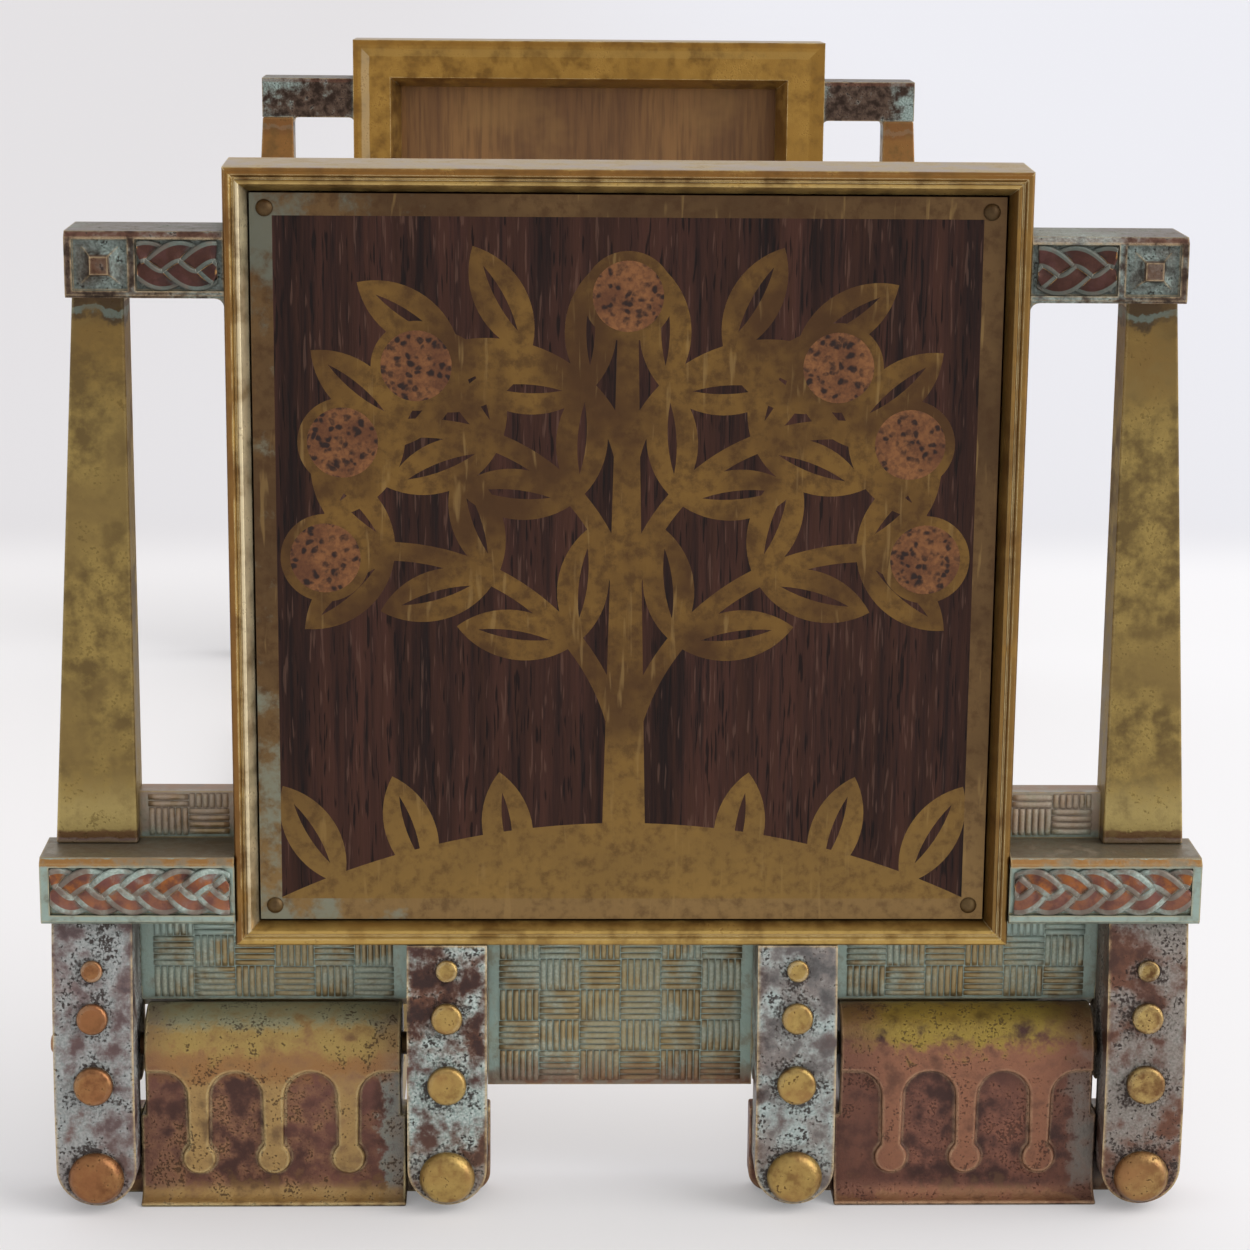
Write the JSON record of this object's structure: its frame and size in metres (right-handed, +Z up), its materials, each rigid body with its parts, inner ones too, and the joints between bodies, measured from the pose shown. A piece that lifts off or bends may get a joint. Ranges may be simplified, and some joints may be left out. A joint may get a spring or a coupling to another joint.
{
  "type": "sliding book rack",
  "caption": "Expanding desk book rack: folding cast ends with inlaid panels on hinged, riveted feet, joined by telescoping base rails.",
  "frame": {"origin": "on the desk, midway between the two ends", "axes": "+Y from the front end to the rear end, +X to the right seen from the front, +Z up"},
  "size_m": [0.1624, 0.3438, 0.1472],
  "materials": {
    "cast_brass": "worn satin brass, brown in the grooves and bright on the edges",
    "patina_bronze": "red-brown patina with blue-green verdigris",
    "verdigris_bronze": "green-grey verdigris worn to gold on the highs",
    "worn_rivets": "rubbed brass heads",
    "foot_bronze": "coppery brown with olive-gold tops",
    "inlay_brass": "dull scratched inlay brass",
    "rosewood": "oiled dark rosewood, upright grain",
    "burl_wood": "orange-brown burl with dark eyes",
    "backing_wood": "plain brown board",
    "rail_brass": "rubbed sheet brass"
  },
  "bodies": {
    "front_base": {"front_left_hinge_leaf": "foot_bronze", "front_right_hinge_leaf": "foot_bronze", "front_channel": "rail_brass", "front_slide_bar": "rail_brass", "front_rail_rivets": "rail_brass", "front_stop_pin": "rail_brass", "front_stop_bar": "rail_brass"},
    "front_end": {"front_end_plate": "verdigris_bronze", "front_left_post": "cast_brass", "front_right_post": "cast_brass", "front_left_arm": "patina_bronze", "front_right_arm": "patina_bronze", "front_left_outer_strap": "patina_bronze", "front_left_inner_strap": "patina_bronze", "front_right_inner_strap": "patina_bronze", "front_right_outer_strap": "patina_bronze", "front_strap_rivets": "worn_rivets", "front_strap_studs": "worn_rivets", "front_picture_frame": "cast_brass", "front_rosewood_panel": "rosewood", "front_panel_border": "inlay_brass", "front_brass_inlay": "inlay_brass", "front_burl_inlay": "burl_wood", "front_panel_pins": "inlay_brass", "front_backing_board": "backing_wood", "front_left_hinge_pin": "worn_rivets", "front_right_hinge_pin": "worn_rivets"},
    "rear_base": {"rear_left_hinge_leaf": "foot_bronze", "rear_right_hinge_leaf": "foot_bronze", "rear_channel": "rail_brass", "rear_slide_bar": "rail_brass", "rear_rail_rivets": "rail_brass", "rear_stop_pin": "rail_brass", "rear_stop_bar": "rail_brass"},
    "rear_end": {"rear_end_plate": "verdigris_bronze", "rear_left_post": "cast_brass", "rear_right_post": "cast_brass", "rear_left_arm": "patina_bronze", "rear_right_arm": "patina_bronze", "rear_left_outer_strap": "patina_bronze", "rear_left_inner_strap": "patina_bronze", "rear_right_inner_strap": "patina_bronze", "rear_right_outer_strap": "patina_bronze", "rear_strap_rivets": "worn_rivets", "rear_strap_studs": "worn_rivets", "rear_picture_frame": "cast_brass", "rear_rosewood_panel": "rosewood", "rear_panel_border": "inlay_brass", "rear_brass_inlay": "inlay_brass", "rear_burl_inlay": "burl_wood", "rear_panel_pins": "inlay_brass", "rear_backing_board": "backing_wood", "rear_left_hinge_pin": "worn_rivets", "rear_right_hinge_pin": "worn_rivets"}
  },
  "joints": [
    {"name": "front_fold", "type": "hinge", "parent": "front_base", "child": "front_end", "pos_m": [0, -0.1602, 0.0218], "axis": [-1, 0, 0], "range_deg": [0, 93]},
    {"name": "rail_slide", "type": "slide", "parent": "front_base", "child": "rear_base", "axis": [0, 1, 0], "range_m": [-0.066, 0.112]},
    {"name": "rear_fold", "type": "hinge", "parent": "rear_base", "child": "rear_end", "pos_m": [0, 0.1602, 0.0218], "axis": [1, 0, 0], "range_deg": [0, 93]}
  ]
}
